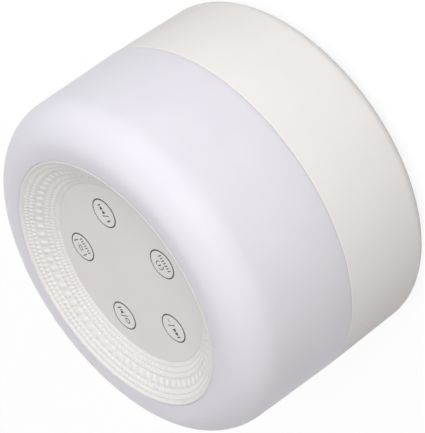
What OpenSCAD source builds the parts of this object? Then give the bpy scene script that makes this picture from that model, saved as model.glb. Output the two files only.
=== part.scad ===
// White noise sound machine: a drum with a night-light diffuser over an ivory base.
// It stands on its feet at z = 0, with the cable inlet at the rear (+Y) and the keys read from the front (-Y).

/* [Housing] */
// Diameter of the housing at its seam
body_d = 110; // [100:0.5:126]
// Height of the housing, without the feet
body_h = 71.6; // [69.4:0.2:90]
// Height of the base shell, from its underside to the seam
base_h = 31.9; // [29:0.1:38]
// Radius of the round edge under the base
base_fillet = 4.5; // [3:0.1:5.4]
// Wall of the base shell
base_wall = 2.2; // [1.8:0.1:2.8]
// Width of the base's underside between its round edge and the bottom cover
base_rim = 1.6; // [1:0.1:3]
// Thickness of the ledge that the bottom cover seats against
ledge_t = 2; // [1.5:0.1:3]
// Wall of the register lip that centres the diffuser
lip_t = 1.6; // [1.2:0.1:2]
// Height of the register lip above the seam
lip_h = 2.2; // [1.5:0.1:3]

/* [Diffuser] */
// Wall of the diffuser
diffuser_wall = 2; // [1.5:0.1:2.6]
// How much the diffuser's side leans inwards up to the shoulder
diffuser_draft = 0.9; // [0:0.1:1.5]
// Radius of the round shoulder
shoulder_r = 12.8; // [11:0.1:13.8]
// Radius of the shoulder's tighter upper part
crown_r = 8.4; // [6:0.1:10.8]
// Thickness of the ledge that carries the trim ring
seat_t = 1.6; // [1.2:0.1:2.4]
// Width of that ledge under the trim ring
seat_w = 1.7; // [1.2:0.1:2.2]

/* [Control dish] */
// Width of the diffuser's rim, from its seam to the dish, seen from above
rim_w = 15; // [14:0.1:17]
// Width of the patterned trim ring
ring_w = 10.6; // [10:0.1:11.6]
// How far the patterned surface starts below the top of the diffuser
ring_drop = 0.6; // [0.4:0.1:1]
// Width of the ring's raised rim, level with the top of the diffuser
ring_rim_w = 0.8; // [0.6:0.05:0.85]
// Depth of the dish, from the patterned surface's outer edge down to the panel
dish_depth = 5.9; // [4.6:0.1:8]
// Wall of the trim ring
ring_t = 2; // [1.6:0.1:2.6]
// Thickness of the control panel
panel_t = 1.6; // [1.2:0.1:2.4]
// Width of the ring's ledge under the panel
panel_seat_w = 3.1; // [2:0.1:3.2]
// Distance from the ring's outer edge to its first groove
ring_lip_w = 1.2; // [0.8:0.1:1.6]
// Pitch of the ring's fine bands
band_w = 1.3; // [1.1:0.05:1.5]
// Depth of the grooves between the bands
groove_depth = 0.3; // [0.1:0.05:0.5]
// Half width of those grooves
groove_half_w = 0.3; // [0.2:0.05:0.45]
// Number of beads around the ring
bead_count = 72; // [36:12:84]
// Radius of each bead
bead_r = 1.15; // [0.9:0.05:1.3]
// How far each bead stands above the ring
bead_h = 0.5; // [0.3:0.05:0.7]

/* [Keys] */
// Diameter of each key
key_d = 9.12; // [8:0.1:10]
// Width of the panel between the key centres and its edge
key_margin = 9.4; // [8.4:0.1:9.8]
// Gap around each key
key_gap = 0.25; // [0.15:0.05:0.4]
// How far the keys stand above the panel at rest
key_proud = 0.05; // [0:0.05:0.7]
// Travel of each key
key_travel = 0.6; // [0.3:0.05:0.8]
// Width of the collar that keeps a key under the panel
collar_w = 1.1; // [0.8:0.1:1.2]
// Thickness of that collar
collar_t = 1.2; // [0.8:0.1:1.6]
// Gap between the collar and the panel at rest
collar_gap = 0.2; // [0.1:0.05:0.3]
// Length of the stem under each key
stem_h = 1.4; // [1:0.1:3]
// Diameter of that stem
stem_d = 3.2; // [2.4:0.1:4]
// Side of a key switch
switch_w = 6; // [5:0.1:7]
// Height of a key switch's housing
switch_h = 3.5; // [3:0.1:4.5]
// Diameter of a switch's plunger
plunger_d = 3.4; // [2.8:0.1:3.8]
// Length of a switch's plunger
plunger_h = 1.7; // [1.5:0.05:2.4]
// How far the plunger stands out of its housing
plunger_out = 0.8; // [0.8:0.05:1.2]

/* [Light] */
// Number of light-emitting diodes
led_count = 12; // [8:4:16]
// Side of a light-emitting diode
led_w = 5; // [3:0.1:5.4]
// Height of a light-emitting diode
led_h = 1.6; // [1:0.1:2]
// Thickness of the white reflector sheet
reflector_t = 0.3; // [0.2:0.05:0.5]
// Wall of the tower in the middle of the light
tower_wall = 2; // [1.6:0.1:2.4]
// Gap between the key board and the tower
tower_gap = 1.1; // [0.5:0.1:1.6]

/* [Speaker] */
// Diameter of the speaker's flange
speaker_d = 66; // [64:0.5:70]
// Diameter of the speaker's opening
speaker_bore = 49.8; // [48:0.1:50.5]
// Diameter of the moving cone
cone_d = 40.8; // [38:0.1:42]
// Height of the cone
cone_h = 5.5; // [4:0.1:6.5]
// Gap between the cone and its surround, and around the voice coil
cone_gap = 0.3; // [0.2:0.05:0.5]
// Thickness of the cone, the dust cap and the surround
cone_t = 0.5; // [0.4:0.05:0.8]
// Thickness of the speaker's sheet-metal frame
frame_t = 1.2; // [0.8:0.1:1.6]
// Height of the speaker's basket behind the flange
basket_h = 9; // [8.6:0.1:9.4]
// Diameter of the voice coil
coil_d = 13; // [12:0.1:14]
// Wall of the voice coil
coil_t = 0.5; // [0.3:0.05:0.7]
// Length of the voice coil
coil_h = 7; // [6:0.1:7.4]
// Diameter of the magnet
magnet_d = 31; // [28:0.5:34]
// Height of the magnet
magnet_h = 7; // [6:0.1:7.4]
// Thickness of the yoke's plate
yoke_t = 1.5; // [1:0.1:1.8]
// Height of the raised seat under the speaker
speaker_seat_h = 3.2; // [2.8:0.1:3.6]
// Thickness of the foam gasket under the speaker
gasket_t = 0.8; // [0.5:0.1:1]

/* [Bottom] */
// Thickness of the bottom cover
cover_t = 2.4; // [2:0.1:3]
// Diameter of a hole in the speaker grille
grille_hole_d = 2.4; // [1.6:0.1:2.8]
// Pitch of the rings of grille holes
grille_pitch = 4.2; // [3.8:0.1:5]
// Height of the feet below the housing
foot_h = 2; // [1.2:0.1:3]
// Diameter of a foot
foot_d = 12; // [9:0.5:13]
// Width of the bottom cover outside each foot
foot_margin = 2.7; // [1.5:0.1:5]
// Depth of the recess that a foot is glued into
foot_recess = 0.4; // [0.2:0.1:0.8]

/* [Cable inlet] */
// Width of the inlet's recess in the base
inlet_w = 13; // [12:0.1:15]
// Height of that recess
inlet_h = 7.5; // [7:0.1:9]
// Depth of that recess
inlet_depth = 4.5; // [4.2:0.1:5]
// Height of the inlet's centre above the base's underside
inlet_z = 12; // [11.6:0.1:14]
// Wall around the recess
inlet_wall = 2; // [1.5:0.1:2.5]
// Width of the socket's metal shell
socket_w = 8.94; // [8.9:0.01:9]
// Height of the socket's metal shell
socket_h = 3.26; // [3.2:0.01:3.3]
// Length of the socket
socket_l = 7.3; // [6.5:0.1:8]

/* [Chassis and boards] */
// Thickness of the chassis plate
plate_t = 2; // [1.6:0.1:2.6]
// Outer diameter of the screw posts
post_d = 6.8; // [6:0.1:7.2]
// Thickness of the circuit boards
board_t = 1.6; // [1:0.1:2]
// Height of the posts under the main board
main_post_h = 6; // [4:0.5:8]
// Gap between the main board and the tower
main_board_gap = 2; // [1:0.1:3]
// Radius of the circle of the key board's posts
panel_post_circle_r = 9; // [8:0.5:10]
// Side of the controller chip
controller_w = 9; // [7:0.5:10]
// Length of the amplifier chip
amplifier_l = 6; // [4:0.5:8]
// Width of the amplifier chip
amplifier_w = 5; // [3:0.5:6]
// Height of both chips
chip_h = 1.5; // [0.8:0.1:2]
// Diameter of the large capacitors
capacitor_d = 6; // [5:0.5:6.5]
// Width of the main board outside the large capacitors
capacitor_margin = 5.5; // [4:0.5:6]
// Height of the large capacitors
capacitor_h = 7; // [5:0.5:9]
// Width of the board connectors
connector_w = 4; // [3:0.5:5]
// Height of the board connectors
connector_h = 3; // [2:0.5:3.5]
// Width of the ribbon cable
ribbon_w = 8; // [6:0.5:10]
// Diameter of the leads
lead_d = 1; // [0.8:0.1:1.2]
// Pitch of the leads in a connector
lead_pitch = 2.4; // [2:0.1:2.6]

/* [Fasteners] */
// Diameter of the long screws under the base
screw_d = 3; // [2.5:0.1:3.2]
// Diameter of the small screws of the boards
small_screw_d = 2; // [1.6:0.1:2.4]
// Depth that a screw's thread bites beyond the piece it holds
screw_bite = 8; // [6:0.5:9]
// Depth that a small screw bites
small_bite = 4; // [3:0.1:4.4]

/* [Fits] */
// Sliding clearance between fitted plastic pieces, on the radius
fit = 0.15; // [0.1:0.05:0.2]
// Clearance of a screw in the piece that it holds, on the radius
screw_fit = 0.2; // [0.1:0.05:0.3]

/* [Hidden] */

$fn = 96;
cut = 1;
ivory = "#F0EDE9";
lilac_white = "#EBE9F1";
warm_white = "#E6E2DF";
panel_white = "#D9D5D3";
board_green = "#2F6B4A";
dark = "#2B2B2E";
steel = "#B9BBBF";

// Housing
body_r = body_d / 2;
z_under = foot_h;
z_cover = z_under + cover_t;
z_ledge = z_cover + ledge_t;
z_seam = z_under + base_h;
z_top = z_under + body_h;
base_inner_r = body_r - base_wall;
cover_bore_r = body_r - base_fillet - base_rim;
cover_r = cover_bore_r - fit;
post_r = post_d / 2;
main_screw_r = cover_r - post_r - fit;
ledge_bore_r = main_screw_r - post_r;
lip_r = body_r - diffuser_wall - fit;
lip_inner_r = lip_r - lip_t;

// Diffuser
CROWN_ANGLE = 60;
shoulder_x = body_r - diffuser_draft - shoulder_r;
crown_x = shoulder_x + (shoulder_r - crown_r) * cos(CROWN_ANGLE);
crown_z = z_top - crown_r;
shoulder_z = crown_z - (shoulder_r - crown_r) * sin(CROWN_ANGLE);
ring_r = body_r - rim_w;
z_ring_edge = z_top - ring_drop;
ring_flange_t = 2.1;
z_seat = z_ring_edge - ring_flange_t;
seat_bore_r = ring_r + fit - seat_w;

// Control dish
panel_r = ring_r - ring_w;
panel_bore_r = panel_r + fit;
z_panel = z_ring_edge - dish_depth;
z_panel_seat = z_panel - panel_t;
z_ring_under = z_panel_seat - ring_t;
ring_inner_r = panel_bore_r - panel_seat_w;
ring_slope = dish_depth / (ring_r - panel_bore_r);
slope_angle = atan(ring_slope);
ring_skirt_r = seat_bore_r - fit;
rim_edge = 0.15;
outer_grooves = [for (i = [0:2]) ring_r - ring_lip_w - i * band_w];
inner_grooves = [for (i = [0:2]) panel_bore_r + (i + 1) * band_w];
bead_circle_r = (outer_grooves[2] + inner_grooves[2]) / 2;

// Keys, each at its angle from +X around the panel
KEY_ANGLES = [["power", 126], ["light", 54], ["next", -18], ["previous", 198], ["timer", -90]];
key_r = key_d / 2;
key_circle_r = panel_r - key_margin;
z_key_top = z_panel + key_proud;
z_collar_top = z_panel_seat - collar_gap;
z_collar = z_collar_top - collar_t;
z_plunger_top = z_collar - stem_h;
z_switch_top = z_plunger_top - plunger_out;
z_key_board = z_switch_top - switch_h;
key_edge = 0.1;
key_board_gap = 0.9;
key_board_r = ring_inner_r - key_board_gap;
panel_post_r = 2.3;
POST_ANGLES = [90, 234, 306];

// Light
tower_bore_r = key_board_r + tower_gap;
tower_r = tower_bore_r + tower_wall;
ring_foot_w = 0.4;
ring_foot_r = tower_r + ring_foot_w;
tower_post_r = 2.8;
tower_post_sink = 0.4;
tower_screw_r = tower_r + tower_post_r - tower_post_sink;
led_board_gap = 0.6;
led_board_edge = 2;
led_board_inner_r = tower_screw_r + tower_post_r + led_board_gap;
led_board_r = lip_inner_r - led_board_edge;
led_inset = 1;
led_circle_r = (led_board_inner_r + led_board_r) / 2 - led_inset;
z_led_board = z_seam + board_t;
tower_lug_h = 4;
solder_strip = 2.4;

// Speaker
foot_circle_r = cover_r - foot_margin - foot_d / 2;
speaker_r = speaker_d / 2;
speaker_bore_r = speaker_bore / 2;
speaker_boss_r = 2.6;
basket_step = 3.4;
gasket_gap = 0.3;
basket_r = speaker_bore_r + basket_step;
speaker_screw_circle_r = speaker_r - speaker_boss_r;
gasket_r = speaker_screw_circle_r - speaker_boss_r - gasket_gap;
z_speaker_seat = z_cover + speaker_seat_h;
z_flange = z_speaker_seat + gasket_t;
z_basket = z_flange + frame_t;
z_basket_top = z_basket + basket_h;
z_magnet = z_basket_top + frame_t;
z_magnet_top = z_magnet + magnet_h;
cone_r = cone_d / 2;
surround_in = cone_r + cone_gap;
roll_gap = 0.05;
roll_r = (speaker_bore_r - surround_in) / 2 - roll_gap;
roll_x = (speaker_bore_r + surround_in) / 2;
coil_r = coil_d / 2;
magnet_gap = 1;
magnet_bore_r = coil_r + coil_t + magnet_gap;
yoke_step = 1;
z_cone_top = z_basket + cone_h;

// Cable inlet
z_inlet = z_under + inlet_z;
y_inlet_floor = body_r - inlet_depth;
z_usb_board = z_inlet - socket_h / 2 - board_t;
usb_post_x = 7;
usb_post_inset = 1.5;
y_usb_post = main_screw_r - usb_post_inset;

// Main board
z_main_board = z_seam + main_post_h;
main_board_r = tower_bore_r - main_board_gap;
main_post_r = 2.6;
main_post_margin = 0.8;
main_screw_circle_r = main_board_r - main_post_r - main_post_margin;
capacitor_circle_r = main_board_r - capacitor_d / 2 - capacitor_margin;
plug_margin = 4;
led_plug_step = 3.5;
plug_circle_r = main_board_r - connector_w / 2 - plug_margin;
led_plug_circle_r = plug_circle_r - led_plug_step;
plug_w = 2 * lead_pitch + 2;
cable_hole_r = 3.4;
LED_LEAD_ANGLE = -30;
z_plugs = z_main_board - connector_h;

// Fasteners
screw_head_h = 1.4;
small_head_h = 1.2;
head_ratio = 1.8;

// Leads
lead_r = lead_d / 2;
lead_sides = 8;
lead_slot_w = 7;
lead_slot_h = 4;
lead_gap = 3;
lead_run_r = magnet_d / 2 + lead_gap;
ribbon_t = 0.6;

function tangent_point(px, pz, cx, cz, r) =
    let (d = norm([px - cx, pz - cz]), a = atan2(pz - cz, px - cx) + acos(r / d))
    [cx + r * cos(a), cz + r * sin(a)];
function ring_z(r) = z_ring_edge - (ring_r - r) * ring_slope;
function unit(v) = v / norm(v);
function tangent_at(p, i) = unit(p[min(i + 1, len(p) - 1)] - p[max(i - 1, 0)]);
function groove(r, first, last) = [
    [r + first, ring_z(r + first)],
    [r, ring_z(r) - groove_depth],
    [r + last, ring_z(r + last)]
];

// Copies its children to each angle on a circle.
module around(angles, r = 0) {
    for (a = angles) rotate(a) translate([r, 0, 0]) children();
}

module tube(r_out, r_in, h) {
    difference() {
        cylinder(r = r_out, h = h);
        translate([0, 0, -cut]) cylinder(r = r_in, h = h + 2 * cut);
    }
}

// A pan-head screw that points up from z = 0, where its head's seat is.
module screw(d, length, head_h) {
    translate([0, 0, -head_h]) cylinder(r = d * head_ratio / 2, h = head_h, $fn = 32);
    cylinder(r = d / 2, h = length, $fn = 32);
}

// A round lead swept through points; no stretch of it runs along the vector side.
module lead(points, side) {
    n = lead_sides;
    rings = [for (i = [0:len(points) - 1])
        let (t = tangent_at(points, i), u = unit(cross(side, t)), v = cross(t, u))
        for (k = [0:n - 1]) points[i] + lead_r * (cos(360 * k / n) * u + sin(360 * k / n) * v)];
    last = n * (len(points) - 1);
    polyhedron(rings, concat(
        [[for (k = [0:n - 1]) k]],
        [for (i = [0:len(points) - 2]) for (k = [0:n - 1]) let (a = i * n + k, b = i * n + (k + 1) % n)
            [a, a + n, b + n, b]],
        [[for (k = [n - 1:-1:0]) last + k]]
    ));
}

// The drum above the seam as half a section, shrunk by inset.
module drum_section(inset, z_low) {
    r = shoulder_r - inset;
    foot = [body_r - inset, z_low];
    touch = tangent_point(foot[0], foot[1], shoulder_x, shoulder_z, r);
    polygon([[0, z_low], foot, touch, [shoulder_x, shoulder_z], [crown_x, crown_z], [crown_x, z_top - inset],
        [0, z_top - inset]]);
    intersection() {
        translate([shoulder_x, shoulder_z]) circle(r = r);
        polygon([[shoulder_x, shoulder_z - body_r], [shoulder_x, shoulder_z],
            [shoulder_x + body_r * cos(CROWN_ANGLE), shoulder_z + body_r * sin(CROWN_ANGLE)],
            [shoulder_x + body_r, shoulder_z - body_r]]);
    }
    translate([crown_x, crown_z]) circle(r = crown_r - inset);
}

module base_shell() color(ivory) {
    difference() {
        union() {
            rotate_extrude() difference() {
                union() {
                    translate([0, z_under]) square([body_r - base_fillet, base_h]);
                    translate([0, z_under + base_fillet]) square([body_r, base_h - base_fillet]);
                    translate([body_r - base_fillet, z_under + base_fillet]) circle(r = base_fillet);
                    translate([0, z_seam - cut]) square([lip_r, lip_h + cut]);
                }
                translate([0, z_under - cut]) square([ledge_bore_r, body_h]);
                translate([0, z_under - cut]) square([cover_bore_r, cover_t + cut]);
                translate([0, z_ledge]) square([lip_inner_r, body_h]);
                translate([0, z_ledge]) square([base_inner_r, base_h - cover_t - ledge_t - 2 * lip_t - plate_t]);
            }
            inlet_block();
            for (x = [-usb_post_x, usb_post_x]) translate([x, y_usb_post, z_cover])
                cylinder(r = post_r * 0.75, h = z_usb_board - z_cover, $fn = 32);
        }
        inlet_hollow();
        around([45:90:315], main_screw_r) translate([0, 0, z_cover - cut])
            cylinder(r = screw_d / 2 + screw_fit, h = ledge_t + 2 * cut, $fn = 32);
        for (x = [-usb_post_x, usb_post_x]) translate([x, y_usb_post, z_usb_board - small_bite])
            cylinder(r = small_screw_d / 2, h = small_bite + cut, $fn = 32);
    }
}

// The walls around the inlet's recess, inside the base shell's own outline.
module inlet_block() {
    w = inlet_w + 2 * inlet_wall;
    h = inlet_h + 2 * inlet_wall;
    intersection() {
        translate([-w / 2, y_inlet_floor - inlet_wall, z_inlet - h / 2]) cube([w, body_r, h]);
        translate([0, 0, z_ledge - cut]) cylinder(r = body_r, h = z_seam - z_ledge);
    }
}

module inlet_hollow() {
    translate([-inlet_w / 2, y_inlet_floor, z_inlet - inlet_h / 2]) cube([inlet_w, body_r, inlet_h]);
    translate([-socket_w / 2 - fit, y_inlet_floor - inlet_wall - cut, z_inlet - socket_h / 2 - fit])
        cube([socket_w + 2 * fit, inlet_wall + 2 * cut, socket_h + 2 * fit]);
}

module bottom_cover() color(ivory) {
    grille_r = speaker_bore_r - grille_hole_d;
    difference() {
        union() {
            translate([0, 0, z_under]) cylinder(r = cover_r, h = cover_t);
            translate([0, 0, z_cover]) tube(speaker_r, speaker_bore_r, speaker_seat_h);
            around([45:90:315], speaker_screw_circle_r) translate([0, 0, z_cover])
                cylinder(r = speaker_boss_r, h = z_flange - z_cover, $fn = 32);
        }
        around([45:90:315], main_screw_r) {
            translate([0, 0, z_under - cut]) cylinder(r = screw_d / 2 + screw_fit, h = cover_t + 2 * cut, $fn = 32);
            translate([0, 0, z_under - cut])
                cylinder(r = screw_d * head_ratio / 2 + screw_fit, h = screw_head_h + cut, $fn = 32);
        }
        around([0:90:270], foot_circle_r) translate([0, 0, z_under - cut])
            cylinder(r = foot_d / 2 + fit, h = foot_recess + cut);
        around([45:90:315], speaker_screw_circle_r) translate([0, 0, z_flange - small_bite])
            cylinder(r = small_screw_d / 2, h = small_bite + cut, $fn = 32);
        translate([0, 0, z_under - cut]) cylinder(r = grille_hole_d / 2, h = cover_t + 2 * cut, $fn = 24);
        for (k = [1:floor(grille_r / grille_pitch)]) around([0:60 / k:359.9], k * grille_pitch)
            translate([0, 0, z_under - cut]) cylinder(r = grille_hole_d / 2, h = cover_t + 2 * cut, $fn = 24);
    }
}

module rubber_feet() color(dark) {
    edge = 0.4;
    around([0:90:270], foot_circle_r) {
        cylinder(r1 = foot_d / 2 - edge, r2 = foot_d / 2, h = edge);
        translate([0, 0, edge]) cylinder(r = foot_d / 2, h = foot_h + foot_recess - edge);
    }
}

module cover_screws() color(steel) {
    around([45:90:315], main_screw_r) translate([0, 0, z_under + screw_head_h])
        screw(screw_d, cover_t - screw_head_h + ledge_t + screw_bite, screw_head_h - 0.2);
}

module speaker_gasket() color(dark) {
    translate([0, 0, z_speaker_seat]) tube(gasket_r, speaker_bore_r, gasket_t);
}

module speaker_frame() color(steel) {
    rim = basket_r;
    neck = magnet_d / 2;
    window_r = 3.2;
    difference() {
        union() {
            translate([0, 0, z_flange]) tube(speaker_r, speaker_bore_r, frame_t);
            rotate_extrude() polygon([
                [rim - frame_t, z_basket], [rim, z_basket], [neck, z_magnet], [magnet_bore_r, z_magnet],
                [magnet_bore_r, z_basket_top], [neck - frame_t, z_basket_top]
            ]);
        }
        around([45:90:315], speaker_screw_circle_r) translate([0, 0, z_flange - cut])
            cylinder(r = small_screw_d / 2 + screw_fit, h = frame_t + 2 * cut, $fn = 32);
        around([0:60:300], (rim + neck) / 2 - 1) translate([0, 0, z_basket + basket_h / 2])
            rotate([0, 45, 0]) cylinder(r = window_r, h = 2 * window_r + 4 * frame_t, center = true, $fn = 32);
    }
}

module speaker_surround() color(dark) {
    rotate_extrude() {
        translate([speaker_bore_r - cone_t, z_basket]) square([2, cone_t]);
        difference() {
            translate([roll_x, z_basket + cone_t]) circle(r = roll_r);
            translate([roll_x, z_basket + cone_t]) circle(r = roll_r - cone_t);
            translate([0, z_basket + cone_t]) square([speaker_r, speaker_r]);
        }
    }
}

module speaker_cone() color("#4A4A4D") {
    neck = coil_r;
    rotate_extrude() polygon([
        [cone_r, z_basket], [cone_r, z_basket + cone_t], [neck, z_cone_top + cone_t], [neck, z_cone_top]
    ]);
}

module dust_cap() color("#3A3A3D") {
    cap_r = coil_r + 1.2;
    sphere_r = cap_r * 1.3;
    z_rim = z_basket + cone_h * (cone_r - cap_r) / (cone_r - coil_r);
    z_centre = z_rim + sqrt(sphere_r * sphere_r - cap_r * cap_r) - cone_t;
    rotate_extrude() intersection() {
        difference() {
            translate([0, z_centre]) circle(r = sphere_r);
            translate([0, z_centre]) circle(r = sphere_r - cone_t);
        }
        translate([0, z_rim - cone_t - sphere_r]) square([cap_r, sphere_r]);
    }
}

module voice_coil() color("#B5703A") {
    translate([0, 0, z_cone_top]) tube(coil_r, coil_r - coil_t, coil_h);
}

module speaker_magnet() color(dark) {
    translate([0, 0, z_magnet]) tube(magnet_d / 2, magnet_bore_r, magnet_h);
}

module speaker_yoke() color(steel) {
    translate([0, 0, z_magnet_top]) cylinder(r = magnet_d / 2 - yoke_step, h = yoke_t);
    translate([0, 0, z_magnet]) cylinder(r = coil_r - coil_t - cone_gap, h = magnet_h + cut / 2);
}

module speaker_screws() color(steel) {
    around([45:90:315], speaker_screw_circle_r) translate([0, 0, z_basket]) rotate([180, 0, 0])
        screw(small_screw_d, frame_t + small_bite - 0.2, small_head_h);
}

module chassis() color(warm_white) {
    difference() {
        union() {
            translate([0, 0, z_seam - plate_t]) cylinder(r = lip_inner_r - fit, h = plate_t);
            around([45:90:315], main_screw_r) translate([0, 0, z_ledge])
                cylinder(r = post_r, h = z_seam - z_ledge - plate_t / 2);
            around([0:120:240], main_screw_circle_r) translate([0, 0, z_seam - cut])
                cylinder(r = main_post_r, h = main_post_h + cut, $fn = 32);
        }
        around([45:90:315], main_screw_r) {
            translate([0, 0, z_ledge - cut]) cylinder(r = screw_d / 2, h = screw_bite + 2 * cut, $fn = 32);
            translate([0, 0, z_seam - small_bite]) cylinder(r = small_screw_d / 2, h = small_bite + cut, $fn = 32);
        }
        around([0:120:240], main_screw_circle_r) translate([0, 0, z_main_board - small_bite])
            cylinder(r = small_screw_d / 2, h = small_bite + cut, $fn = 32);
        around([60:120:300], tower_screw_r) translate([0, 0, z_seam - plate_t - cut])
            cylinder(r = small_screw_d / 2 + screw_fit, h = plate_t + 2 * cut, $fn = 32);
        around([-90, 90], plug_circle_r) translate([0, 0, z_seam - plate_t - cut])
            cylinder(r = cable_hole_r, h = plate_t + 2 * cut);
    }
}

module light_tower() color("white") {
    difference() {
        union() {
            translate([0, 0, z_seam]) tube(tower_r, tower_bore_r, z_ring_under - z_seam);
            around([60:120:300], tower_screw_r) translate([0, 0, z_seam]) difference() {
                cylinder(r = tower_post_r, h = small_bite + cut + 3, $fn = 32);
                translate([0, 0, -cut]) cylinder(r = small_screw_d / 2, h = small_bite + cut, $fn = 32);
            }
            around([0:120:240], tower_screw_r) translate([0, 0, z_ring_under - tower_lug_h])
                cylinder(r = tower_post_r, h = tower_lug_h, $fn = 32);
        }
        translate([0, 0, z_seam - cut]) cylinder(r = tower_bore_r, h = body_h);
        around([0:120:240], tower_screw_r) translate([0, 0, z_ring_under - tower_lug_h - cut])
            cylinder(r = small_screw_d / 2 + screw_fit, h = tower_lug_h + 2 * cut, $fn = 32);
        around([LED_LEAD_ANGLE], tower_bore_r - cut) translate([0, -lead_slot_w / 2, z_seam - cut])
            cube([tower_wall + 2 * cut, lead_slot_w, lead_slot_h + cut]);
    }
}

module tower_screws() color(steel) {
    around([60:120:300], tower_screw_r) translate([0, 0, z_seam - plate_t])
        screw(small_screw_d, plate_t + small_bite - 0.4, small_head_h);
}

module led_board() color("#E9E9E4") {
    difference() {
        translate([0, 0, z_seam]) tube(led_board_r, led_board_inner_r, board_t);
        around([45:90:315], main_screw_r) translate([0, 0, z_seam - cut])
            cylinder(r = small_screw_d / 2 + screw_fit, h = board_t + 2 * cut, $fn = 32);
    }
}

module leds() color("#F4E9B8") {
    around([0:360 / led_count:359.9], led_circle_r) translate([-led_w / 2, -led_w / 2, z_led_board])
        cube([led_w, led_w, led_h]);
}

module light_reflector() color("white") {
    hole = led_w + 2 * fit;
    difference() {
        translate([0, 0, z_led_board]) tube(led_board_r, led_board_inner_r + solder_strip, reflector_t);
        around([0:360 / led_count:359.9], led_circle_r) translate([-hole / 2, -hole / 2, z_seam])
            cube([hole, hole, z_led_board]);
        around([45:90:315], main_screw_r) translate([0, 0, z_led_board - cut])
            cylinder(r = small_screw_d * head_ratio / 2 + screw_fit, h = reflector_t + 2 * cut, $fn = 32);
    }
}

module led_board_screws() color(steel) {
    around([45:90:315], main_screw_r) translate([0, 0, z_led_board]) rotate([180, 0, 0])
        screw(small_screw_d, board_t + small_bite - 0.2, small_head_h);
}

module diffuser() color(lilac_white) {
    rotate_extrude() difference() {
        union() {
            difference() {
                drum_section(0, z_seam);
                drum_section(diffuser_wall, z_seam - cut);
            }
            translate([seat_bore_r, z_seat - seat_t])
                square([seat_w + diffuser_wall, z_top - diffuser_wall / 2 - z_seat + seat_t]);
        }
        translate([0, z_seat]) square([ring_r + fit, body_h]);
        translate([0, z_seam - 2 * cut]) square([seat_bore_r, body_h]);
    }
}

module trim_ring() color(warm_white) {
    outline = concat(
        [[ring_r, z_seat], [ring_r, z_top - rim_edge], [ring_r - rim_edge, z_top],
         [ring_r - ring_rim_w / 2 - rim_edge, z_top], [ring_r - ring_rim_w, ring_z(ring_r - ring_rim_w)]],
        [for (r = outer_grooves) each groove(r, groove_half_w, -groove_half_w)],
        [for (i = [2:-1:0]) each groove(inner_grooves[i], groove_half_w, -groove_half_w)],
        [[panel_bore_r, z_panel], [panel_bore_r, z_panel_seat], [ring_inner_r, z_panel_seat],
         [ring_inner_r, z_ring_under], [ring_foot_r, z_ring_under],
         [ring_foot_r, ring_z(tower_r) - ring_t],
         [ring_skirt_r, ring_z(ring_skirt_r) - ring_t], [ring_skirt_r, z_seat]]
    );
    difference() {
        union() {
            rotate_extrude() polygon(outline);
            around([0:120:240], tower_screw_r) translate([0, 0, z_ring_under])
                cylinder(r = tower_post_r, h = ring_z(tower_screw_r) - ring_t / 2 - z_ring_under, $fn = 32);
            around([0:360 / bead_count:359.9], bead_circle_r)
                translate([(bead_r - bead_h) * sin(slope_angle), 0,
                    ring_z(bead_circle_r) - (bead_r - bead_h) * cos(slope_angle)])
                    sphere(r = bead_r, $fn = 24);
        }
        around([0:120:240], tower_screw_r) translate([0, 0, z_ring_under - cut])
            cylinder(r = small_screw_d / 2, h = small_bite / 2 + cut, $fn = 32);
        translate([0, 0, z_panel_seat]) cylinder(r = panel_bore_r, h = body_h);
    }
}

module ring_screws() color(steel) {
    around([0:120:240], tower_screw_r) translate([0, 0, z_ring_under - tower_lug_h])
        screw(small_screw_d, tower_lug_h + small_bite / 2 - 0.2, small_head_h);
}

module control_panel() color(panel_white) {
    difference() {
        union() {
            translate([0, 0, z_panel_seat]) cylinder(r = panel_r, h = panel_t);
            around(POST_ANGLES, panel_post_circle_r) translate([0, 0, z_key_board])
                cylinder(r = panel_post_r, h = z_panel - z_key_board - panel_t / 2, $fn = 32);
        }
        for (key = KEY_ANGLES) around([key[1]], key_circle_r) translate([0, 0, z_panel_seat - cut])
            cylinder(r = key_r + key_gap, h = panel_t + 2 * cut);
        around(POST_ANGLES, panel_post_circle_r) translate([0, 0, z_key_board - cut])
            cylinder(r = small_screw_d / 2, h = small_bite + cut, $fn = 32);
    }
}

// One key: its cap, the collar that keeps it in and the stem that meets the switch.
module key(i) color(warm_white) around([KEY_ANGLES[i][1]], key_circle_r) {
    translate([0, 0, z_plunger_top]) cylinder(r = stem_d / 2, h = stem_h + collar_t / 2, $fn = 32);
    translate([0, 0, z_collar]) cylinder(r = key_r + collar_w, h = collar_t);
    translate([0, 0, z_collar]) cylinder(r = key_r, h = z_key_top - key_edge - z_collar);
    translate([0, 0, z_key_top - key_edge]) cylinder(r1 = key_r, r2 = key_r - key_edge, h = key_edge);
}

module plunger(i) color(dark) around([KEY_ANGLES[i][1]], key_circle_r)
    translate([0, 0, z_plunger_top - plunger_h]) cylinder(r = plunger_d / 2, h = plunger_h, $fn = 32);

module key_power() key(0);
module key_light() key(1);
module key_next() key(2);
module key_previous() key(3);
module key_timer() key(4);
module plunger_power() plunger(0);
module plunger_light() plunger(1);
module plunger_next() plunger(2);
module plunger_previous() plunger(3);
module plunger_timer() plunger(4);

module switch_housings() color("#3B3B3E") {
    bore_depth = plunger_h - plunger_out + key_travel + 0.3;
    for (key = KEY_ANGLES) around([key[1]], key_circle_r) difference() {
        translate([-switch_w / 2, -switch_w / 2, z_key_board]) cube([switch_w, switch_w, switch_h]);
        translate([0, 0, z_switch_top - bore_depth])
            cylinder(r = plunger_d / 2 + key_gap, h = bore_depth + cut, $fn = 32);
    }
}

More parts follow.
